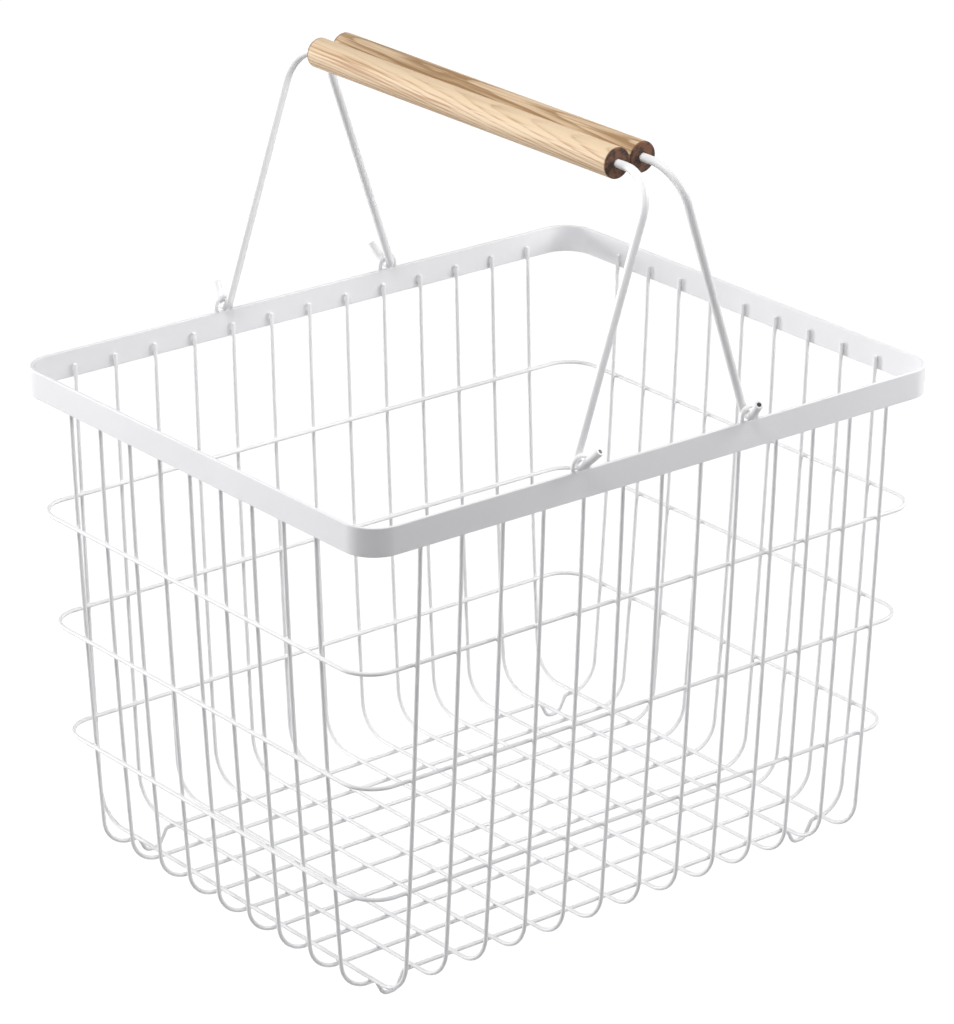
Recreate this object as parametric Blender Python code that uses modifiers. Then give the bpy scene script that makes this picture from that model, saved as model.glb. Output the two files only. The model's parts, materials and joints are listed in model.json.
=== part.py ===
"""Wire laundry basket with two bail handles and turned wood grips.

Metres, +Z up. X runs along the basket's length and Y across it. The origin lies on the ground under
the middle of the basket, which stands on four feet bent into its outermost lengthwise wires.
Welded pieces keep a small gap to each other, so that every piece is its own solid.
"""
import math

import bpy
from mathutils import Matrix, Vector

# Rim band, a flat steel strip on edge
RIM_LENGTH = 0.420
RIM_WIDTH = 0.335
RIM_CORNER = 0.020
BAND_HEIGHT = 0.017
BAND_THICKNESS = 0.002

# Body wires, depths counted down from the rim's top edge
BODY_WIRE = 0.0025
WELD_GAP = 0.0003
BODY_DEPTH = 0.300
WIRE_END_DEPTH = 0.0085
CROSSWISE_COUNT = 13
LENGTHWISE_COUNT = 9
CROSSWISE_BEND = 0.022
LENGTHWISE_BEND = 0.019
LENGTHWISE_SETBACK = 0.0098
WALL_LEAN = 0.009
LONG_WALL_BOW = 0.006
SHORT_WALL_BOW = 0.007

# Rings round the body
RING_COUNT = 3
FIRST_RING_DEPTH = 0.089
RING_CORNER = 0.020

# Feet, dips in the outermost lengthwise wires
FOOT_DROP = 0.0105
FOOT_TOP_WIDTH = 0.0205
FOOT_BASE_WIDTH = 0.0093
FOOT_TOP_BEND = 0.0028
FOOT_BASE_BEND = 0.0055

# Handle wires, bent from one rod each, and the staples that hold their hooks on the rim
HANDLE_WIRE = 0.005
HANDLE_SPACING = 0.124
HANDLE_ARM = 0.163
HANDLE_BEND = 0.0226
HOOK_CLEARANCE = 0.00055
STUB_LENGTH = 0.0135
STUB_RISE = math.radians(49)
STAPLE_WIRE = 0.0025
STAPLE_PLAY = 0.00175
STAPLE_LEG = 0.00275

# Wood grips, turned and bored to run on the handle wires, slid against the wires' back bends
GRIP_DIAMETER = 0.018
GRIP_LENGTH = 0.272
GRIP_BORE = 0.0058
GRIP_EDGE = 0.001
GRIP_SLIDE = 0.0036

# Roundness of the solids
BEND_STEP = math.radians(17)
WIRE_SIDES = 8
HANDLE_SIDES = 10
GRIP_SIDES = 24
MERGE_DISTANCE = 0.00001

# Places that follow from the sizes
rim_top = BODY_DEPTH + FOOT_DROP + BODY_WIRE / 2
layer = BODY_WIRE + WELD_GAP
band_middle_y = RIM_WIDTH / 2 - BAND_THICKNESS / 2
ring_pitch = (BODY_DEPTH + BODY_WIRE / 2 - FIRST_RING_DEPTH) / RING_COUNT
ring_depths = [FIRST_RING_DEPTH + i * ring_pitch for i in range(RING_COUNT)]


def wall_offset(depth, bow):
    """How far a wall stands in from its place at the rim; it is upright along the band."""
    share = max(0.0, depth - BAND_HEIGHT) / (BODY_DEPTH - BAND_HEIGHT)
    return WALL_LEAN * share + bow * share ** 2


def crosswise_y(depth):
    """Centre of a crosswise wire's upright, against the band's inner face on the long sides."""
    at_rim = RIM_WIDTH / 2 - BAND_THICKNESS - WELD_GAP - BODY_WIRE / 2
    return at_rim - wall_offset(depth, LONG_WALL_BOW)


def lengthwise_x(depth):
    """Centre of a lengthwise wire's upright, against the band's inner face on the short sides."""
    at_rim = RIM_LENGTH / 2 - BAND_THICKNESS - WELD_GAP - BODY_WIRE / 2
    return at_rim - wall_offset(depth, SHORT_WALL_BOW)


# The outermost wires stand where the other set's floor is still straight
crosswise_reach = lengthwise_x(BODY_DEPTH) - LENGTHWISE_BEND
lengthwise_reach = crosswise_y(BODY_DEPTH) - CROSSWISE_BEND - LENGTHWISE_SETBACK


def spread(reach, count):
    """Evenly spaced places from -reach to reach."""
    return [reach * (2 * i / (count - 1) - 1) for i in range(count)]


def rounded_path(corners, closed=False):
    """Turn corners, given as (point, bend radius), into a path whose bends are arcs."""
    path = []
    for i, (point, radius) in enumerate(corners):
        is_end = not closed and i in (0, len(corners) - 1)
        if is_end or radius == 0:
            path.append(point)
            continue
        before = (corners[i - 1][0] - point).normalized()
        after = (corners[(i + 1) % len(corners)][0] - point).normalized()
        turn = math.pi - before.angle(after)
        reach = radius * math.tan(turn / 2)
        centre = point + (before + after).normalized() * (radius / math.cos(turn / 2))
        first = point + before * reach - centre
        last = point + after * reach - centre
        steps = max(2, round(turn / BEND_STEP))
        for k in range(steps + 1):
            arm = Matrix.Rotation(turn * k / steps, 3, first.cross(last)) @ first
            if not path or (centre + arm - path[-1]).length > MERGE_DISTANCE:
                path.append(centre + arm)
    return path


def make_material(name, colour, roughness, metallic):
    material = bpy.data.materials.new(name)
    material.use_nodes = True
    shader = material.node_tree.nodes["Principled BSDF"]
    shader.inputs["Base Color"].default_value = (*colour, 1.0)
    shader.inputs["Roughness"].default_value = roughness
    shader.inputs["Metallic"].default_value = metallic
    return material


def make_wire(name, path, diameter, material, closed=False, sides=WIRE_SIDES):
    """Curve data of a round wire along a path, with its cut ends closed.

    A round bevel has four sides, and two more for each step of its resolution.
    """
    curve = bpy.data.curves.new(name, "CURVE")
    curve.dimensions = "3D"
    curve.bevel_depth = diameter / 2
    curve.bevel_resolution = (sides - 4) // 2
    curve.use_fill_caps = not closed
    spline = curve.splines.new("POLY")
    spline.points.add(len(path) - 1)
    for point, place in zip(spline.points, path):
        point.co = (*place, 1.0)
    spline.use_cyclic_u = closed
    curve.materials.append(material)
    return curve


def place(name, data, collection, location=(0, 0, 0), rotation=(0, 0, 0), parent=None):
    """Add a named object to the basket's collection."""
    piece = bpy.data.objects.new(name, data)
    piece.location = location
    piece.rotation_euler = rotation
    piece.parent = parent
    collection.objects.link(piece)
    return piece


def rounded_rectangle(half_x, half_y, radius):
    """Closed path round a rectangle with round corners, in the XY plane."""
    signs = ((1, 1), (-1, 1), (-1, -1), (1, -1))
    corners = [(Vector((sx * half_x, sy * half_y, 0)), radius) for sx, sy in signs]
    return rounded_path(corners, closed=True)


def rim_band(collection, material):
    """The strip bent to a rounded rectangle: a flat ring outline, as thick as the strip is high."""
    outline = bpy.data.curves.new("rim_band", "CURVE")
    outline.dimensions = "2D"
    outline.fill_mode = "BOTH"
    outline.extrude = BAND_HEIGHT / 2
    for inset in (0.0, BAND_THICKNESS):
        path = rounded_rectangle(RIM_LENGTH / 2 - inset, RIM_WIDTH / 2 - inset, RIM_CORNER - inset)
        spline = outline.splines.new("POLY")
        spline.points.add(len(path) - 1)
        for point, spot in zip(spline.points, path):
            point.co = (*spot, 1.0)
        spline.use_cyclic_u = True
    outline.materials.append(material)
    place("rim_band", outline, collection, (0, 0, rim_top - BAND_HEIGHT / 2))


def upright_corners(half_width, floor_depth, bend, side, axis):
    """One wall of a U wire from its cut end to its floor bend, kept straight between the rings."""
    depths = [WIRE_END_DEPTH, BAND_HEIGHT, *ring_depths]
    corners = [(axis * side * half_width(depth) - Vector((0, 0, depth)), 0) for depth in depths]
    floor_corner = axis * side * half_width(floor_depth) - Vector((0, 0, floor_depth))
    return corners + [(floor_corner, bend)]


def u_wire_path(half_width, floor_depth, bend, axis, floor_corners=()):
    """Path of a wire that runs down one wall, across the floor and up the opposite wall."""
    down = upright_corners(half_width, floor_depth, bend, -1, axis)
    up = upright_corners(half_width, floor_depth, bend, 1, axis)
    return rounded_path([*down, *floor_corners, *reversed(up)])


def crosswise_wires(collection, material):
    """Wires across the basket; on the floor they lie on the lengthwise wires."""
    path = u_wire_path(crosswise_y, BODY_DEPTH - layer, CROSSWISE_BEND, Vector((0, 1, 0)))
    wire = make_wire("crosswise_wire", path, BODY_WIRE, material)
    for i, x in enumerate(spread(crosswise_reach, CROSSWISE_COUNT)):
        place(f"crosswise_wire_{i + 1:02d}", wire, collection, (x, 0, rim_top))


def foot_corners(middle):
    """A foot: the floor wire dips to the ground between two crosswise wires."""
    outline = (
        (-FOOT_TOP_WIDTH / 2, 0.0, FOOT_TOP_BEND),
        (-FOOT_BASE_WIDTH / 2, FOOT_DROP, FOOT_BASE_BEND),
        (FOOT_BASE_WIDTH / 2, FOOT_DROP, FOOT_BASE_BEND),
        (FOOT_TOP_WIDTH / 2, 0.0, FOOT_TOP_BEND),
    )
    return [(Vector((middle + x, 0, -BODY_DEPTH - drop)), bend) for x, drop, bend in outline]


def lengthwise_wires(collection, material):
    """Wires along the basket, the floor's lower layer; the outermost two carry the feet."""
    axis = Vector((1, 0, 0))
    pitch = 2 * crosswise_reach / (CROSSWISE_COUNT - 1)
    foot_middle = crosswise_reach - pitch / 2
    feet = foot_corners(-foot_middle) + foot_corners(foot_middle)
    plain_path = u_wire_path(lengthwise_x, BODY_DEPTH, LENGTHWISE_BEND, axis)
    footed_path = u_wire_path(lengthwise_x, BODY_DEPTH, LENGTHWISE_BEND, axis, feet)
    plain = make_wire("lengthwise_wire", plain_path, BODY_WIRE, material)
    footed = make_wire("footed_wire", footed_path, BODY_WIRE, material)
    for i, y in enumerate(spread(lengthwise_reach, LENGTHWISE_COUNT)):
        wire = footed if i in (0, LENGTHWISE_COUNT - 1) else plain
        place(f"lengthwise_wire_{i + 1}", wire, collection, (0, y, rim_top))


def rings(collection, material):
    """Rings welded inside the crosswise uprights and outside the lengthwise ones."""
    for i, depth in enumerate(ring_depths):
        path = rounded_rectangle(lengthwise_x(depth) + layer, crosswise_y(depth) - layer, RING_CORNER)
        ring = make_wire("ring", path, BODY_WIRE, material, closed=True)
        place(f"ring_{i + 1}", ring, collection, (0, 0, rim_top - depth))


def staples(collection, material):
    """Small arches welded on the rim's top edge, two for each handle."""
    half = HANDLE_WIRE / 2 + STAPLE_WIRE / 2 + STAPLE_PLAY
    crown = STAPLE_LEG + half
    outline = ((-half, 0.0, 0.0), (-half, crown, half), (half, crown, half), (half, 0.0, 0.0))
    path = rounded_path([(Vector((x, 0, z)), bend) for x, z, bend in outline])
    staple = make_wire("staple", path, STAPLE_WIRE, material)
    for x_name, x_side in (("left", -1), ("right", 1)):
        for y_name, y_side in (("front", -1), ("back", 1)):
            spot = (x_side * HANDLE_SPACING / 2, y_side * band_middle_y, rim_top + WELD_GAP)
            place(f"staple_{x_name}_{y_name}", staple, collection, spot)


def handle_path():
    """One handle wire in its own plane, its hinge axis along Y through the origin.

    From the cut end of a stub outside the rim it goes down and round under the staple, up inside
    the rim, across as the grip's core, and down to the same hook on the other side.
    """
    hook = STAPLE_WIRE / 2 + HANDLE_WIRE / 2 + HOOK_CLEARANCE
    leg_y = band_middle_y - hook
    reach = hook * math.tan((math.pi / 2 + STUB_RISE) / 2)
    hook_corner = Vector((0, leg_y, hook - reach))
    stub = Vector((0, math.cos(STUB_RISE), math.sin(STUB_RISE))) * (reach + STUB_LENGTH)
    half = [(hook_corner + stub, 0), (hook_corner, hook), (Vector((0, leg_y, HANDLE_ARM)), HANDLE_BEND)]
    mirrored = [(Vector((0, -point.y, point.z)), bend) for point, bend in reversed(half)]
    return rounded_path(half + mirrored)


def grip_mesh(material):
    """A turned dowel with a through bore, as the closed profile that a Screw modifier turns."""
    bore = GRIP_BORE / 2
    radius = GRIP_DIAMETER / 2
    half_length = GRIP_LENGTH / 2
    profile = rounded_path([
        (Vector((bore, 0, half_length)), 0),
        (Vector((radius, 0, half_length)), GRIP_EDGE),
        (Vector((radius, 0, -half_length)), GRIP_EDGE),
        (Vector((bore, 0, -half_length)), 0),
    ])
    edges = [(i, (i + 1) % len(profile)) for i in range(len(profile))]
    mesh = bpy.data.meshes.new("grip")
    mesh.from_pydata(profile, edges, [])
    mesh.materials.append(material)
    return mesh


def handles(collection, wire_material, wood_material):
    """Both handles at rest, leaning in until their grips meet over the middle of the basket."""
    rod = make_wire("handle_wire", handle_path(), HANDLE_WIRE, wire_material, sides=HANDLE_SIDES)
    dowel = grip_mesh(wood_material)
    pivot_z = rim_top + WELD_GAP + HANDLE_WIRE / 2
    lean = math.asin((HANDLE_SPACING / 2 - GRIP_DIAMETER / 2 - WELD_GAP / 2) / HANDLE_ARM)
    for name, side in (("left", -1), ("right", 1)):
        pivot = (side * HANDLE_SPACING / 2, 0, pivot_z)
        wire = place(f"handle_wire_{name}", rod, collection, pivot, (0, -side * lean, 0))
        spot = (0, GRIP_SLIDE, HANDLE_ARM)
        grip = place(f"grip_{name}", dowel, collection, spot, (math.pi / 2, 0, 0), wire)
        turning = grip.modifiers.new("turning", "SCREW")
        turning.axis = "Z"
        turning.steps = GRIP_SIDES
        turning.render_steps = GRIP_SIDES
        turning.use_merge_vertices = True
        turning.merge_threshold = MERGE_DISTANCE
        turning.use_smooth_shade = True


def build():
    """Clear the scene and make every piece."""
    for leftover in list(bpy.data.objects):
        bpy.data.objects.remove(leftover, do_unlink=True)
    basket = bpy.data.collections.new("wire_laundry_basket")
    bpy.context.scene.collection.children.link(basket)
    coated_wire = make_material("white_coated_wire", (0.78, 0.78, 0.80), 0.42, 0.0)
    coated_band = make_material("white_coated_band", (0.80, 0.80, 0.82), 0.45, 0.0)
    coated_rod = make_material("white_coated_rod", (0.80, 0.80, 0.81), 0.40, 0.0)
    wood = make_material("pale_wood", (0.72, 0.52, 0.33), 0.60, 0.0)
    rim_band(basket, coated_band)
    crosswise_wires(basket, coated_wire)
    lengthwise_wires(basket, coated_wire)
    rings(basket, coated_wire)
    staples(basket, coated_wire)
    handles(basket, coated_rod, wood)


build()
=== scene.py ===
"""Wire laundry basket: the visible pieces, finishes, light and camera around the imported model.

Metres, +Z up, X along the basket and Y across it, the origin on the ground under its middle.
"""
import json
import math

import bmesh
import bpy
import numpy as np
from mathutils import Matrix, Vector

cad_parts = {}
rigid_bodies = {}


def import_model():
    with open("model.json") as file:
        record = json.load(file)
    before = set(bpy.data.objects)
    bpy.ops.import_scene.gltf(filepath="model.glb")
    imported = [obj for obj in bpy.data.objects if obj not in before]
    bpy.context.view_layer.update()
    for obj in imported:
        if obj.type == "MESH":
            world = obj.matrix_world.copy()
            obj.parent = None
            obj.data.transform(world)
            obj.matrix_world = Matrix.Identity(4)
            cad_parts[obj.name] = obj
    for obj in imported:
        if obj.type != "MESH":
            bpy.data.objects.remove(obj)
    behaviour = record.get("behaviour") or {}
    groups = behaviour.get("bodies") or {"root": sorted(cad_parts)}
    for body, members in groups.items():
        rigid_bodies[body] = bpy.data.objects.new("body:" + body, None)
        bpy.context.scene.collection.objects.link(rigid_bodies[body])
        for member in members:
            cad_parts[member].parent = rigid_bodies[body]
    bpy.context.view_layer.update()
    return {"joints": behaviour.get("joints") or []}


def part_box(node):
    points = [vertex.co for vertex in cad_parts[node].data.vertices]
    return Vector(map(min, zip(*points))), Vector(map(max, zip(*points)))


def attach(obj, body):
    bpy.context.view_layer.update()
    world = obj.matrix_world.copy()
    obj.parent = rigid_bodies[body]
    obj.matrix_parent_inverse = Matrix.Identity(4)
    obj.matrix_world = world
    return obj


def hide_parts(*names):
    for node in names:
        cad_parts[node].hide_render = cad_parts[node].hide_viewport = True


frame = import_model()


# Rim band
# A flat steel strip, 17 by 2 mm, stood on edge and bent to a rounded rectangle. Its edges are dulled,
# the ends of the uprights are spot welded to its inner face, and a satin white powder coat covers all.
RIM_CORNER = 0.020
STRIP_THICKNESS = 0.002
STRIP_EDGE = 0.00055
WELD_GAP = 0.0003
WIRE_END_DEPTH = 0.0085
CROSSWISE_COUNT = 13
LENGTHWISE_COUNT = 9
BAND_WELD = (0.0014, 0.0006, 0.0024)
COAT_BRIGHT = (0.865, 0.862, 0.882, 1.0)
COAT_DULL = (0.840, 0.838, 0.852, 1.0)
COAT_ROUGHNESS = 0.36
PEEL_ROUGHNESS = 0.12
PATCHES_PER_METRE = 16
PATCH_RANGE = (0.3, 0.7)
PEEL_PER_METRE = 900
PEEL_DEPTH = 0.00004
SWELL_PER_METRE = 150
SWELL_DEPTH = 0.00012

CROSSWISE_NODES = [f"crosswise_wire_{i + 1:02d}" for i in range(CROSSWISE_COUNT)]
LENGTHWISE_NODES = [f"lengthwise_wire_{i + 1}" for i in range(LENGTHWISE_COUNT)]


def node_middle(node):
    """Middle of a node's box at rest."""
    low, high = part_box(node)
    return np.array(low + high) / 2


def node_half(node):
    """Half sizes of a node's box at rest."""
    low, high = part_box(node)
    return np.array(high - low) / 2


rim_half = node_half("rim_band")
rim_top = float(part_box("rim_band")[1].z)
rim_middle = node_middle("rim_band")
band_height = 2 * rim_half[2]
crosswise_places = [node_middle(node)[0] for node in CROSSWISE_NODES]
lengthwise_places = [node_middle(node)[1] for node in LENGTHWISE_NODES]


class Value:
    """A number that changes over a surface. Arithmetic on it adds Math nodes to its finish."""

    def __init__(self, finish, socket):
        self.finish = finish
        self.socket = socket

    def math(self, operation, *operands):
        return self.finish.node("ShaderNodeMath", {"operation": operation}, operands)

    def __add__(self, other):
        return self.math("ADD", self, other)

    def __sub__(self, other):
        return self.math("SUBTRACT", self, other)

    def __rsub__(self, other):
        return self.math("SUBTRACT", other, self)

    def __mul__(self, other):
        return self.math("MULTIPLY", self, other)

    def __pow__(self, other):
        return self.math("POWER", self, other)

    __radd__ = __add__
    __rmul__ = __mul__

    def between(self, low, high):
        """0 at low and 1 at high, eased in between."""
        settings = {"interpolation_type": "SMOOTHSTEP"}
        return self.finish.node("ShaderNodeMapRange", settings, (self, low, high))


class Finish:
    """A procedural material that reads its piece's Object coordinates."""

    def __init__(self, name):
        self.material = bpy.data.materials.new(name)
        self.material.use_nodes = True
        self.tree = self.material.node_tree
        self.shader = self.tree.nodes["Principled BSDF"]
        self.place = self.node("ShaderNodeTexCoord", {}, (), "Object")

    def node(self, kind, settings, sockets, output=0):
        """Add a node: its settings first, then the values or links of its sockets by order or name."""
        node = self.tree.nodes.new(kind)
        for setting, value in settings.items():
            if setting == "stops":
                elements = node.color_ramp.elements
                elements.remove(elements[1])
                elements[0].position, elements[0].color = value[0]
                for position, colour in value[1:]:
                    elements.new(position).color = colour
            else:
                setattr(node, setting, value)
        for socket, value in sockets.items() if isinstance(sockets, dict) else enumerate(sockets):
            self.fill(node.inputs[socket], value)
        return Value(self, node.outputs[output])

    def fill(self, socket, value):
        """Link a socket to a changing value, or set it to a plain one."""
        if isinstance(value, Value):
            self.tree.links.new(value.socket, socket)
        else:
            socket.default_value = value

    def noise(self, scale, detail=2.0, place=None, distortion=0.0):
        """Smooth noise from 0 to 1 with the given number of patches a metre."""
        sockets = {"Vector": place or self.place, "Scale": scale, "Detail": detail,
                   "Distortion": distortion}
        return self.node("ShaderNodeTexNoise", {}, sockets)

    def mixed(self, share, first, second):
        """The first colour where share is 0 and the second where it is 1."""
        return self.node("ShaderNodeMix", {"data_type": "RGBA"}, {0: share, 6: first, 7: second}, 2)

    def relief(self, height, depth, under=None):
        """Surface normal for a height from 0 to 1 that stands for so many metres."""
        sockets = {"Height": height, "Distance": depth}
        if under:
            sockets["Normal"] = under
        return self.node("ShaderNodeBump", {}, sockets)

    def show(self, **sockets):
        """Fill the shader's own sockets, such as Base_Color, and return the material."""
        for socket, value in sockets.items():
            self.fill(self.shader.inputs[socket.replace("_", " ")], value)
        return self.material


def powder_coat(name, bright, dull, bare=None):
    """Satin powder coat: soft patches of two close tones, a few centimetres wide, and the orange peel
    of cured powder, about a millimetre across, over a slower unevenness of its thickness. Faces with
    the attribute cut take the colour given as bare, if there is one."""
    coat = Finish(name)
    patches = coat.noise(PATCHES_PER_METRE, 3).between(*PATCH_RANGE)
    colour = coat.mixed(patches, bright, dull)
    if bare:
        cut = coat.node("ShaderNodeAttribute", {"attribute_name": "cut"}, (), "Fac")
        colour = coat.mixed(cut, colour, bare)
    peel = coat.noise(PEEL_PER_METRE, 2)
    swell = coat.relief(coat.noise(SWELL_PER_METRE, 1), SWELL_DEPTH)
    return coat.show(
        Base_Color=colour,
        Roughness=COAT_ROUGHNESS + PEEL_ROUGHNESS * peel,
        Normal=coat.relief(peel, PEEL_DEPTH, under=swell),
    )


def rounded_box(half_width, half_height, edge, steps=4, beside=0.6):
    """Outline of a box with round edges: a quarter circle about each inset corner, and one more point
    beside * edge along each flat from it, which keeps the flats shaded flat."""
    turn = np.linspace(0, math.pi / 2, steps + 1)
    quarter = np.column_stack([np.cos(turn), np.sin(turn)])
    arc = np.vstack([(1, -beside), quarter, (-beside, 1)]) * edge
    inset = np.array([half_width - edge, half_height - edge])
    quarters = []
    for x, y in ((1, 1), (-1, 1), (-1, -1), (1, -1)):
        flipped = arc if x == y else arc[::-1]
        quarters.append((inset + flipped) * (x, y))
    return np.vstack(quarters)


def bent(corners, bends, step=math.radians(6)):
    """A path with round bends. At each corner the arc's centre lies on the corner's middle line,
    bend / cos(turn / 2) away, and the arc swings evenly from one side's direction to the other's. A
    corner with no bend stays a point."""
    corners = np.asarray(corners, float)
    path = []
    for i, (corner, bend) in enumerate(zip(corners, bends)):
        if bend == 0:
            path.append(corner[None])
            continue
        before = corners[i - 1] - corner
        after = corners[(i + 1) % len(corners)] - corner
        before /= np.linalg.norm(before)
        after /= np.linalg.norm(after)
        turn = math.pi - math.acos(before @ after)
        middle = (before + after) / np.linalg.norm(before + after)
        centre = corner + middle * bend / math.cos(turn / 2)
        first = corner + before * bend * math.tan(turn / 2) - centre
        last = corner + after * bend * math.tan(turn / 2) - centre
        angle = np.linspace(0, turn, max(3, round(turn / step)) + 1)[:, None]
        path.append(centre + (np.sin(turn - angle) * first + np.sin(angle) * last) / math.sin(turn))
    return np.vstack(path)


def rounded_rectangle(half_x, half_y, corner, height):
    """Closed path round a rectangle with round corners, at one height."""
    corners = [(x * half_x, y * half_y, height) for x, y in ((1, 1), (-1, 1), (-1, -1), (1, -1))]
    return bent(corners, [corner] * 4)


def swept(path, square, outline, closed=False):
    """Points of an outline carried along a path that lies in one plane: path point + side * outline x
    + square * outline y. Square stands on that plane, and side is the path's direction x square."""
    ahead = np.roll(path, -1, axis=0) - path
    ahead /= np.linalg.norm(ahead, axis=1, keepdims=True)
    direction = ahead + np.roll(ahead, 1, axis=0)
    if not closed:
        direction[0] = ahead[0]
        direction[-1] = ahead[-2]
    side = np.cross(direction, square)
    side /= np.linalg.norm(side, axis=1, keepdims=True)
    return path[:, None] + side[:, None] * outline[..., :1] + np.asarray(square) * outline[..., 1:]


def shell(points, closed=False):
    """A grid of points, whose columns run round, as a closed shell. Each face joins four neighbours;
    the last row joins the first if closed, and otherwise each end gets one flat face."""
    rows, columns = points.shape[:2]
    row = np.arange(rows if closed else rows - 1)[:, None]
    column = np.arange(columns)
    after, beside = (row + 1) % rows, (column + 1) % columns
    corners = (row * columns + column, row * columns + beside,
               after * columns + beside, after * columns + column)
    faces = [np.stack(corners, axis=-1).reshape(-1, 4)]
    if not closed:
        faces.append(np.stack([column[::-1], (rows - 1) * columns + column]))
    return points.reshape(-1, 3), faces


def weld_beads(centres, half_sizes, around=8, rows=5):
    """Flattened balls of weld metal, each at centre + half size * (cos a sin b, sin a sin b, cos b),
    with a going round and b running from pole to pole."""
    b = np.linspace(0, math.pi, rows + 1)[1:-1, None]
    a = 2 * math.pi * np.arange(around) / around
    belt = np.stack([np.cos(a) * np.sin(b), np.sin(a) * np.sin(b), np.cos(b) + 0 * a], axis=-1)
    ball = np.vstack([belt.reshape(-1, 3), (0, 0, 1), (0, 0, -1)])
    points = np.asarray(centres)[:, None] + np.asarray(half_sizes)[:, None] * ball
    row = np.arange(rows - 2)[:, None] * around
    column, beside = np.arange(around), np.roll(np.arange(around), -1)
    sides = np.stack([row + column, row + around + column, row + around + beside, row + beside], -1)
    top, bottom = len(ball) - 2, len(ball) - 1
    last = (rows - 2) * around
    caps = np.vstack([np.stack([column, beside, 0 * column + top], -1),
                      np.stack([last + beside, last + column, 0 * column + bottom], -1)])
    start = np.arange(len(points))[:, None, None] * len(ball)
    faces = [(start + sides.reshape(-1, 4)).reshape(-1, 4), (start + caps).reshape(-1, 3)]
    return points.reshape(-1, 3), faces


def make_piece(name, shells, material, body, node):
    """One object from closed shells, shaded smooth. It rides on a body in a CAD node's place."""
    faces = []
    start = 0
    for points, groups in shells:
        for group in groups:
            faces += (group + start).tolist()
        start += len(points)
    mesh = bpy.data.meshes.new(name)
    mesh.from_pydata(np.vstack([points for points, groups in shells]), [], faces)
    outward = bmesh.new()
    outward.from_mesh(mesh)
    bmesh.ops.recalc_face_normals(outward, faces=outward.faces)
    outward.to_mesh(mesh)
    outward.free()
    mesh.shade_smooth()
    mesh.materials.append(material)
    piece = bpy.data.objects.new(name, mesh)
    bpy.context.scene.collection.objects.link(piece)
    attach(piece, body)
    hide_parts(node)
    return piece


band_coat = powder_coat("white_powder_coat_on_strip", COAT_BRIGHT, COAT_DULL)
strip = rounded_box(STRIP_THICKNESS / 2, rim_half[2], STRIP_EDGE)
strip_path = rounded_rectangle(rim_half[0] - STRIP_THICKNESS / 2, rim_half[1] - STRIP_THICKNESS / 2,
                               RIM_CORNER - STRIP_THICKNESS / 2, rim_middle[2])
band_shells = [shell(swept(strip_path, (0, 0, 1), strip, closed=True), closed=True)]
weld_height = rim_top - (WIRE_END_DEPTH + band_height) / 2
weld_side = STRIP_THICKNESS + WELD_GAP / 2
wide, thick, high = BAND_WELD
for side in (-1, 1):
    across = [(x, side * (rim_half[1] - weld_side), weld_height) for x in crosswise_places]
    along = [(side * (rim_half[0] - weld_side), y, weld_height) for y in lengthwise_places]
    band_shells.append(weld_beads(across, [(wide, thick, high)] * CROSSWISE_COUNT))
    band_shells.append(weld_beads(along, [(thick, wide, high)] * LENGTHWISE_COUNT))
make_piece("coated_rim_band", band_shells, band_coat, "basket", "rim_band")


# Crosswise wires
# Thirteen 2.5 mm steel wires, each bent to a U: down one long side, across the floor and up the other.
# They are cut square, welded to the strip, the rings and the lengthwise wires, and coated white.
BODY_WIRE = 0.0025
BODY_DEPTH = 0.300
WALL_LEAN = 0.009
LONG_WALL_BOW = 0.006
CROSSWISE_BEND = 0.022
WIRE_SIDES = 14
WALL_POINTS = 14
WALL_FOOT = 1.25
CUT_ROUNDING = 0.0006
CUT_STEPS = np.array([0.0, 0.08, 0.25, 0.55, 1.0])
CUT_FLAT = 0.55
WIRE_BRIGHT = (0.890, 0.890, 0.895, 1.0)
WIRE_DULL = (0.868, 0.868, 0.872, 1.0)

wire_coat = powder_coat("white_powder_coat_on_wire", WIRE_BRIGHT, WIRE_DULL)
wire_inset = STRIP_THICKNESS + WELD_GAP + BODY_WIRE / 2
layer = BODY_WIRE + WELD_GAP


def lean_in(depth, bow):
    """How far a wall stands in at a depth below the rim: upright along the band, then lean * share
    + bow * share squared, with the share growing evenly from the band to the floor."""
    share = np.maximum(0.0, depth - band_height) / (BODY_DEPTH - band_height)
    return WALL_LEAN * share + bow * share ** 2


def u_path(half_at_rim, bow, floor_depth, bend, floor_corners=(), floor_bends=()):
    """Path of a U wire as (across, up) points: the wall's bow in even steps of depth, the floor's bend,
    the floor with whatever is bent into it, and the same wall mirrored. The wall's last step ends
    WALL_FOOT bends above the floor."""
    depth = np.linspace(WIRE_END_DEPTH, floor_depth - WALL_FOOT * bend, WALL_POINTS)
    wall = np.column_stack([half_at_rim - lean_in(depth, bow), rim_top - depth])
    corner = [half_at_rim - lean_in(floor_depth, bow), rim_top - floor_depth]
    right = np.vstack([wall, corner])
    unbent = [0] * WALL_POINTS
    corners = [*(right * (-1, 1)), *floor_corners, *right[::-1]]
    return bent(corners, [*unbent, bend, *floor_bends, bend, *unbent])


def circle(sides):
    """Points round a circle of radius 1, (cos a, sin a) with a in even steps."""
    turn = 2 * math.pi * np.arange(sides) / sides
    return np.column_stack([np.cos(turn), np.sin(turn)])


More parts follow.
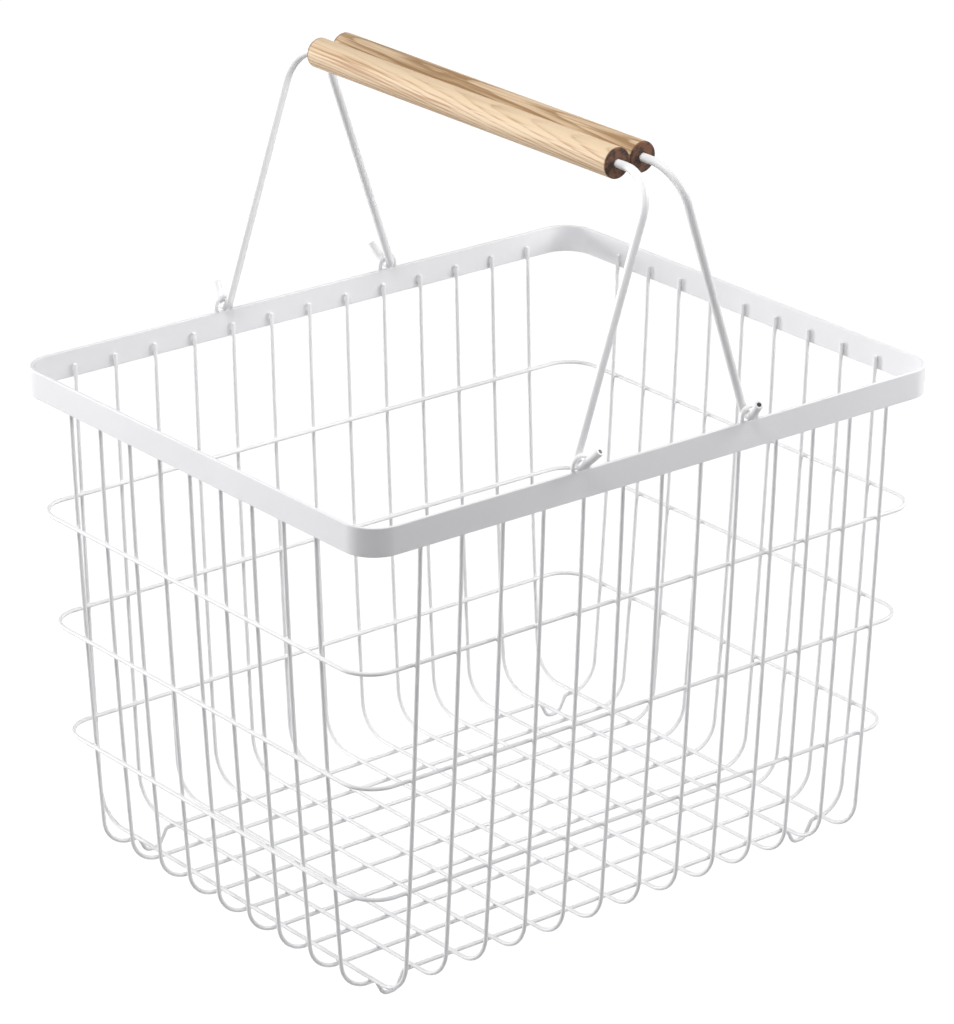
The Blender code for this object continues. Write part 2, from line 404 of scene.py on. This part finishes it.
def wire(path, square, diameter, sides=WIRE_SIDES, rounding=CUT_ROUNDING):
    """A round wire along a flat path. Near each cut end its radius falls off along a quarter circle,
    flat + (1 - flat) * sqrt(1 - (1 - step) ** 2), which is the coat's roundness there."""
    swell = CUT_FLAT + (1 - CUT_FLAT) * np.sqrt(1 - (1 - CUT_STEPS) ** 2)
    out, back = path[1] - path[0], path[-2] - path[-1]
    first = path[0] + out / np.linalg.norm(out) * rounding * CUT_STEPS[:, None]
    last = path[-1] + back / np.linalg.norm(back) * rounding * CUT_STEPS[:, None]
    size = np.hstack([swell, np.ones(len(path) - 2), swell[::-1]])
    path = np.vstack([first, path[1:-1], last[::-1]])
    outline = diameter / 2 * size[:, None, None] * circle(sides)
    return shell(swept(path, square, outline))


crosswise_flat = u_path(rim_half[1] - wire_inset, LONG_WALL_BOW, BODY_DEPTH - layer, CROSSWISE_BEND)
for node, x in zip(CROSSWISE_NODES, crosswise_places):
    path = np.column_stack([np.full(len(crosswise_flat), x), crosswise_flat])
    make_piece(f"coated_{node}", [wire(path, (1, 0, 0), BODY_WIRE)], wire_coat, "basket",
               node)


# Lengthwise wires
# Nine more U wires, down the short sides and along under the crosswise ones, welded at each crossing
# of the floor. The outermost two dip to the ground between the last two crosswise wires, as feet. A
# dip's corners are (half width, bend) at its top and at its base.
SHORT_WALL_BOW = 0.007
LENGTHWISE_BEND = 0.019
FOOT_DROP = 0.0105
FOOT_TOP = (0.01025, 0.0028)
FOOT_BASE = (0.00465, 0.0055)
FLOOR_WELD = (0.0016, 0.0016, 0.0009)

foot_middle = (crosswise_places[-1] + crosswise_places[-2]) / 2
floor_height = rim_top - BODY_DEPTH
foot_corners = []
foot_bends = []
for middle in (-foot_middle, foot_middle):
    for side, (half, bend), drop in ((-1, FOOT_TOP, 0.0), (-1, FOOT_BASE, FOOT_DROP),
                                     (1, FOOT_BASE, FOOT_DROP), (1, FOOT_TOP, 0.0)):
        foot_corners.append((middle + side * half, floor_height - drop))
        foot_bends.append(bend)
short_wall = (rim_half[0] - wire_inset, SHORT_WALL_BOW, BODY_DEPTH, LENGTHWISE_BEND)
plain_flat = u_path(*short_wall)
footed_flat = u_path(*short_wall, foot_corners, foot_bends)
floor_welds = np.array([(x, 0, floor_height + layer / 2) for x in crosswise_places])
for node, y in zip(LENGTHWISE_NODES, lengthwise_places):
    flat = footed_flat if node in (LENGTHWISE_NODES[0], LENGTHWISE_NODES[-1]) else plain_flat
    path = np.column_stack([flat[:, 0], np.full(len(flat), y), flat[:, 1]])
    welds = weld_beads(floor_welds + (0, y, 0), [FLOOR_WELD] * CROSSWISE_COUNT)
    make_piece(f"coated_{node}", [wire(path, (0, 1, 0), BODY_WIRE), welds], wire_coat, "basket",
               node)


# Rings
# Three wires bent to rounded rectangles and butt welded, one below another round the body. Each lies
# inside the crosswise uprights and outside the lengthwise ones, and is welded to all 44 of them.
RING_CORNER = 0.020
RING_WELD = (0.0015, 0.0009, 0.0015)

wide, thick, high = RING_WELD
for node in ("ring_1", "ring_2", "ring_3"):
    middle, half = node_middle(node), node_half(node) - BODY_WIRE / 2
    path = rounded_rectangle(half[0], half[1], RING_CORNER, middle[2])
    section = BODY_WIRE / 2 * circle(WIRE_SIDES)
    ring_shells = [shell(swept(path, (0, 0, 1), section, closed=True), closed=True)]
    for side in (-1, 1):
        across = [(x, side * (half[1] + layer / 2), middle[2]) for x in crosswise_places]
        along = [(side * (half[0] - layer / 2), y, middle[2]) for y in lengthwise_places]
        ring_shells.append(weld_beads(across, [(wide, thick, high)] * CROSSWISE_COUNT))
        ring_shells.append(weld_beads(along, [(thick, wide, high)] * LENGTHWISE_COUNT))
    make_piece(f"coated_{node}", ring_shells, wire_coat, "basket", node)


# Staples
# Four arches of 2.5 mm wire, welded upright on the strip's top edge, two for each handle. Each is bent
# round in nearly a half circle, a handle's hook runs through it, and the coat fills the corners round
# its legs.
STAPLE_WIRE = 0.0025
STAPLE_ROUNDING = 0.0001
STAPLE_STEP = math.radians(9)
NEARLY_HALF = 0.999
LEG_WELD = (0.0021, 0.0013, 0.0011)

for node in ("staple_left_front", "staple_left_back", "staple_right_front", "staple_right_back"):
    middle, half = node_middle(node), node_half(node) - STAPLE_WIRE / 2
    arch = half[0]
    crown = middle[2] + half[2]
    x, y = middle[:2]
    left_leg, right_leg = (x - arch, y, rim_top), (x + arch, y, rim_top)
    corners = [left_leg, (x - arch, y, crown), (x + arch, y, crown), right_leg]
    path = bent(corners, [0, NEARLY_HALF * arch, NEARLY_HALF * arch, 0], STAPLE_STEP)
    staple_shells = [wire(path, (0, 1, 0), STAPLE_WIRE, rounding=STAPLE_ROUNDING),
                     weld_beads([left_leg, right_leg], [LEG_WELD] * 2)]
    make_piece(f"coated_{node}", staple_shells, wire_coat, "basket", node)


# Handle wires
# Two 5 mm rods, each bent to a bail: a short stub outside the rim, a hook round under the staple, a leg
# up inside the rim, the grip's core across, and the same again. The stubs' cut faces are left dark.
HANDLE_WIRE = 0.005
HANDLE_ARM = 0.163
HANDLE_BEND = 0.0226
HOOK_CLEARANCE = 0.00055
STUB_LENGTH = 0.0135
STUB_RISE = math.radians(49)
HANDLE_SIDES = 20
STUB_ROUNDING = 0.0003
ROD_BRIGHT = (0.860, 0.860, 0.868, 1.0)
ROD_DULL = (0.838, 0.838, 0.844, 1.0)
# Near-black colour of the stubs' cut faces.
CUT_FACE_DARK = (0.045, 0.043, 0.045, 1.0)

handle_joints = {joint["child"]: joint for joint in frame["joints"] if joint["parent"] == "basket"}
band_line = rim_half[1] - STRIP_THICKNESS / 2
hook = STAPLE_WIRE / 2 + HANDLE_WIRE / 2 + HOOK_CLEARANCE
leg_line = band_line - hook
rod_coat = powder_coat("white_powder_coat_on_rod", ROD_BRIGHT, ROD_DULL, CUT_FACE_DARK)
# The hook turns the rod by 90 degrees and the stub's rise, so its bend starts radius * tan(turn / 2)
# from the corner that the leg and the stub point at.
reach = hook * math.tan((math.pi / 2 + STUB_RISE) / 2)
hook_corner = np.array([leg_line, hook - reach])
stub_direction = np.array([math.cos(STUB_RISE), math.sin(STUB_RISE)])
stub_end = hook_corner + stub_direction * (reach + STUB_LENGTH)
half_bail = np.array([stub_end, hook_corner, (leg_line, HANDLE_ARM)])
half_bends = [0, hook, HANDLE_BEND]
bail = bent(np.vstack([half_bail, half_bail[::-1] * (-1, 1)]), half_bends + half_bends[::-1])
across = np.array([0.0, 1.0, 0.0])
for name in ("left", "right"):
    pivot = np.array(handle_joints[f"handle_{name}"]["pos_m"]) * (1, 0, 1)
    toward = (node_middle(f"grip_{name}") - pivot) * (1, 0, 1)
    up = toward / np.linalg.norm(toward)
    path = pivot + bail[:, :1] * across + bail[:, 1:] * up
    rod = wire(path, np.cross(across, up), HANDLE_WIRE, HANDLE_SIDES, STUB_ROUNDING)
    piece = make_piece(f"coated_handle_wire_{name}", [rod], rod_coat, f"handle_{name}",
                       f"handle_wire_{name}")
    end_faces = np.zeros(len(piece.data.polygons), np.float32)
    end_faces[-2:] = 1.0
    piece.data.attributes.new("cut", "FLOAT", "FACE").data.foreach_set("value", end_faces)


# Grips
# Two turned dowels of pale ash, 18 mm thick and bored right through to run on the handle wires. Their
# edges are rounded, they are sanded and left bare, and the end grain is dark.
GRIP_DIAMETER = 0.018
GRIP_BORE = 0.0058
GRIP_EDGE = 0.001
BORE_EDGE = 0.0004
GRIP_SIDES = 72

# Growth rings: their spacing and wander in metres, and how dark one is from its start to its end. A
# scale is the number of patches a metre across, along and up the dowel, a range is where a noise fades
# in, and a share is its part in the darkness of the grain.
RING_SPACING = 0.0021
RING_WANDER = 0.0045
RING_STOPS = [(0.0, 0.25), (0.06, 1.0), (0.22, 0.7), (0.50, 0.22), (0.88, 0.0), (1.0, 0.25)]
RING_SHARE = 0.52
WANDER_SCALE = (35, 9, 35)
FIBRE_SCALE = (1100, 16, 1100)
FIBRE_RANGE = (0.35, 0.72)
FIBRE_SHARE = 0.40
PORE_SCALE = (2400, 110, 2400)
PORE_RANGE = (0.60, 0.74)
PORE_SHARE = 0.5
BAND_SCALE = (160, 7, 160)
BAND_RANGE = (0.35, 0.70)
BAND_SHARE = 0.35
GRAIN_DROP = 0.22
GRAIN_RANGE = (0.0, 1.15)
# Grain strength away from and on the painted shade side, and the even painted shade there.
UNSHADED_SIDE_GRAIN = 0.55
SHADED_SIDE_GRAIN = 0.85
EVEN_PAINTED_SHADE = 0.4
# Near-black mottling on the dark reddish end colour, and how far from each end that colour takes over.
END_MOTTLE_PER_METRE = 230
END_MOTTLE_RANGE = (0.38, 0.62)
END_MOTTLE_SHARE = 0.8
END_RING_SHARE = 0.25
END_COLOUR_FROM = 0.0019
END_COLOUR_FULL = 0.0006
WOOD_ROUGHNESS = 0.55
FIBRE_ROUGHNESS = 0.15
END_ROUGHNESS = 0.10
GRAIN_DEPTH = 0.00010
FIBRE_RELIEF = 0.6
PORE_RELIEF = 0.4

# A grip's two tones, where its pith lies and how steeply it is tilted, how far the whole pattern is
# turned about the dowel, and the side and depth of its painted shade: a darker, more streaked side,
# which on the back grip stands for the front grip's shadow.
GRIP_WOODS = {
    "left": {"pale": (0.72, 0.555, 0.375, 1.0), "streak": (0.43, 0.255, 0.130, 1.0),
             "pith": (0.013, -0.024), "tilt": 0.10, "turn": 0.4, "shaded_side_angle": 3.6, "painted_shade_depth": 0.06},
    "right": {"pale": (0.675, 0.510, 0.340, 1.0), "streak": (0.34, 0.205, 0.100, 1.0),
              "pith": (-0.022, -0.016), "tilt": 0.03, "turn": 1.9, "shaded_side_angle": 4.2, "painted_shade_depth": 0.24},
}
END_RED = (0.205, 0.083, 0.042, 1.0)
END_DARK = (0.034, 0.021, 0.013, 1.0)


def ash_wood(name, middle, half_length, pale, streak, pith, tilt, turn, shaded_side_angle, painted_shade_depth):
    """Ash along Y. Growth rings are shells about a pith that lies beside the dowel and is tilted to it,
    so they cut the surface in long arches; each starts with a dark porous line and fades to pale.
    Fibres and pores are noise stretched along Y. One side has stronger streaks and is darker: painted
    shade, on the back grip the front grip's shadow. On the ends a dark reddish end grain colour takes over."""
    wood = Finish(name)
    centred = wood.node("ShaderNodeMapping", {"vector_type": "TEXTURE"},
                        {"Vector": wood.place, "Location": tuple(middle), "Rotation": (0, turn, 0)})
    parts = wood.node("ShaderNodeSeparateXYZ", {}, (centred,)).socket.node.outputs
    x, y, z = (Value(wood, part) for part in parts)

    def grained(scale, detail, distortion=0.0):
        """Noise with its own number of patches a metre across, along and up the dowel."""
        scaled = wood.node("ShaderNodeMapping", {}, {"Vector": centred, "Scale": scale})
        return wood.noise(1.0, detail, scaled, distortion)

    wander = grained(WANDER_SCALE, 3, 0.4) - 0.5
    from_pith_x = x - pith[0] + tilt * y
    from_pith_z = z - pith[1]
    distance = (from_pith_x ** 2 + from_pith_z ** 2) ** 0.5 + RING_WANDER * wander
    rings = distance * (1 / RING_SPACING)
    ring = rings.math("FRACT", rings)
    stops = [(place, (dark, dark, dark, 1)) for place, dark in RING_STOPS]
    early = wood.node("ShaderNodeValToRGB", {"stops": stops}, (ring,))
    fibre = grained(FIBRE_SCALE, 3)
    fine_streaks = fibre.between(*FIBRE_RANGE)
    pores = grained(PORE_SCALE, 1).between(*PORE_RANGE)
    bands = grained(BAND_SCALE, 2).between(*BAND_RANGE)
    # Painted shade: one side of the dowel darker and more streaked, on the back grip the front grip's
    # shadow.
    painted_shade_side = (math.cos(shaded_side_angle) * x + math.sin(shaded_side_angle) * z).between(0.0, GRIP_DIAMETER / 2)
    open_pores = pores * early
    grain = RING_SHARE * early + FIBRE_SHARE * fine_streaks + BAND_SHARE * bands - GRAIN_DROP
    grain_with_painted_shade = grain * (UNSHADED_SIDE_GRAIN + SHADED_SIDE_GRAIN * painted_shade_side) + painted_shade_depth * (painted_shade_side * (EVEN_PAINTED_SHADE + bands))
    dark_grain = grain_with_painted_shade + PORE_SHARE * open_pores
    end = y.math("ABSOLUTE", y).between(half_length - END_COLOUR_FROM, half_length - END_COLOUR_FULL)
    face = wood.mixed(dark_grain.between(*GRAIN_RANGE), pale, streak)
    mottled_end_grain = wood.noise(END_MOTTLE_PER_METRE, 2).between(*END_MOTTLE_RANGE)
    cut_end = wood.mixed(END_RING_SHARE * early + END_MOTTLE_SHARE * mottled_end_grain, END_RED, END_DARK)
    height = FIBRE_RELIEF * fibre + PORE_RELIEF * (1 - open_pores)
    return wood.show(
        Base_Color=wood.mixed(end, face, cut_end),
        Roughness=WOOD_ROUGHNESS + FIBRE_ROUGHNESS * fibre + END_ROUGHNESS * end,
        Normal=wood.relief(height, GRAIN_DEPTH),
    )


def turned(middle, half_length, radius, bore, edge, bore_edge, sides, edge_points=8):
    """A bored dowel about a line along Y: at each turn, middle + r * (cos, 0, sin) + (0, y, 0), with
    (r, y) going round the wall's outline. Its four edges are rounded, and one more point a little way
    along each flat keeps the flats shaded flat."""
    flat = edge / 2
    bend = np.linspace(0, math.pi / 2, edge_points)
    outer = np.column_stack([radius - edge + edge * np.cos(bend), half_length - edge + edge * np.sin(bend)])
    inner = np.column_stack([bore + bore_edge - bore_edge * np.sin(bend[::2]),
                             half_length - bore_edge + bore_edge * np.cos(bend[::2])])
    before = [(radius, half_length - edge - flat)]
    between = [(radius - edge - flat / 2, half_length), (bore + 2 * bore_edge, half_length)]
    after = [(bore, half_length - 3 * bore_edge)]
    upper = np.vstack([before, outer, between, inner, after])
    outline = np.vstack([upper, upper[::-1] * (1, -1)])
    spokes = np.insert(circle(sides), 1, 0.0, axis=1)
    rim = outline[:, None, :1] * spokes + outline[:, None, 1:] * np.array([0.0, 1.0, 0.0])
    return shell(middle + rim, closed=True)


for name, look in GRIP_WOODS.items():
    middle = node_middle(f"grip_{name}")
    half_length = node_half(f"grip_{name}")[1]
    wood = ash_wood(f"ash_{name}", middle, half_length, **look)
    dowel = turned(middle, half_length, GRIP_DIAMETER / 2, GRIP_BORE / 2, GRIP_EDGE, BORE_EDGE, GRIP_SIDES)
    make_piece(f"turned_grip_{name}", [dowel], wood, f"grip_{name}", f"grip_{name}")


# Floor
# A wide, plain white sheet on which the basket stands. It shows nearly white to the camera and keeps
# a faint shadow.
FLOOR_SIZE = 14.0
FLOOR_COLOUR = (0.60, 0.60, 0.61, 1.0)
FLOOR_ROUGHNESS = 0.9
SHOWN_SHARE = 0.86
SHOWN_STRENGTH = 1.16

floor_mesh = bpy.data.meshes.new("floor")
edge = FLOOR_SIZE / 2
floor_mesh.from_pydata([(-edge, -edge, 0), (edge, -edge, 0), (edge, edge, 0), (-edge, edge, 0)], [],
                       [(0, 1, 2, 3)])
floor = bpy.data.objects.new("floor", floor_mesh)
bpy.context.scene.collection.objects.link(floor)
floor_finish = Finish("white_floor")
floor_finish.show(Base_Color=FLOOR_COLOUR, Roughness=FLOOR_ROUGHNESS)
kinds = floor_finish.node("ShaderNodeLightPath", {}, ()).socket.node.outputs
seen, mirrored, through = (Value(floor_finish, kinds[f"Is {kind} Ray"])
                           for kind in ("Camera", "Glossy", "Transmission"))
share = SHOWN_SHARE * (seen + mirrored + through)
glow = floor_finish.node("ShaderNodeEmission", {}, {"Strength": SHOWN_STRENGTH})
plain = Value(floor_finish, floor_finish.shader.outputs[0])
shown = floor_finish.node("ShaderNodeMixShader", {}, (share, plain, glow))
floor_finish.fill(floor_finish.tree.nodes["Material Output"].inputs["Surface"], shown)
floor_mesh.materials.append(floor_finish.material)


# Light
# A small white studio, lit from both sides with the camera's side left dim: on the left one low, strong
# lamp far back and a high one, on the right two weaker ones, and a faint even surround.
WORLD_STRENGTH = 0.145
WORLD_COLOUR = (1.0, 1.0, 1.03, 1.0)

world = bpy.data.worlds.new("studio")
bpy.context.scene.world = world
world.use_nodes = True
nodes, links = world.node_tree.nodes, world.node_tree.links
surround = nodes["Background"]
surround.inputs["Color"].default_value = WORLD_COLOUR
surround.inputs["Strength"].default_value = WORLD_STRENGTH
white = nodes.new("ShaderNodeBackground")
white.inputs["Color"].default_value = (1.0, 1.0, 1.0, 1.0)
rays = nodes.new("ShaderNodeLightPath")
chosen = nodes.new("ShaderNodeMixShader")
links.new(rays.outputs["Is Camera Ray"], chosen.inputs[0])
links.new(surround.outputs[0], chosen.inputs[1])
links.new(white.outputs[0], chosen.inputs[2])
links.new(chosen.outputs[0], nodes["World Output"].inputs["Surface"])

BASKET_MIDDLE = Vector((0.0, 0.0, 0.22))


def soft_lamp(name, place, size, power):
    """A square area lamp that faces the basket's middle."""
    data = bpy.data.lights.new(name, "AREA")
    data.size = size
    data.energy = power
    lamp = bpy.data.objects.new(name, data)
    lamp.location = place
    lamp.rotation_euler = (Vector(place) - BASKET_MIDDLE).to_track_quat("Z", "Y").to_euler()
    bpy.context.scene.collection.objects.link(lamp)


soft_lamp("left_low_lamp", (-1.47, 2.12, 0.44), 0.8, 48.1)
soft_lamp("left_high_lamp", (-0.48, -0.19, 1.26), 0.6, 8.9)
soft_lamp("right_high_lamp", (0.81, -0.36, 0.81), 0.6, 6.0)
soft_lamp("right_front_lamp", (0.89, -1.08, 0.66), 0.6, 4.5)


# Camera
# A long lens, a little above the rim, looking at the corner between the left and the front side. The
# target stands OFFSET metres to the right of and above the picture's middle.
FOCAL_PIXELS = 4644.09
PICTURE_HEIGHT = 1024
SENSOR = 36.0
FARTHEST = 50.0
AZIMUTH = math.radians(-38.859)
ELEVATION = math.radians(22.083)
ROLL = math.radians(0.223)
DISTANCE = 2.74074
TARGET_DEPTH = 0.105
OFFSET = (0.000365, -0.010849)

back = Vector((math.sin(AZIMUTH) * math.cos(ELEVATION), -math.cos(AZIMUTH) * math.cos(ELEVATION),
               math.sin(ELEVATION)))
right = Vector((math.cos(AZIMUTH), math.sin(AZIMUTH), 0.0))
up = back.cross(right)
rolled_right = math.cos(ROLL) * right + math.sin(ROLL) * up
rolled_up = math.cos(ROLL) * up - math.sin(ROLL) * right
camera_data = bpy.data.cameras.new("camera")
camera_data.sensor_width = SENSOR
camera_data.lens = FOCAL_PIXELS / PICTURE_HEIGHT * SENSOR
camera_data.clip_end = FARTHEST
camera = bpy.data.objects.new("camera", camera_data)
target = Vector((0.0, 0.0, rim_top - TARGET_DEPTH))
spot = target - OFFSET[0] * rolled_right - OFFSET[1] * rolled_up + DISTANCE * back
turned_to = Matrix((rolled_right, rolled_up, back)).transposed().to_4x4()
camera.matrix_world = Matrix.Translation(spot) @ turned_to
bpy.context.scene.collection.objects.link(camera)
bpy.context.scene.camera = camera
bpy.context.scene.view_settings.view_transform = "Standard"
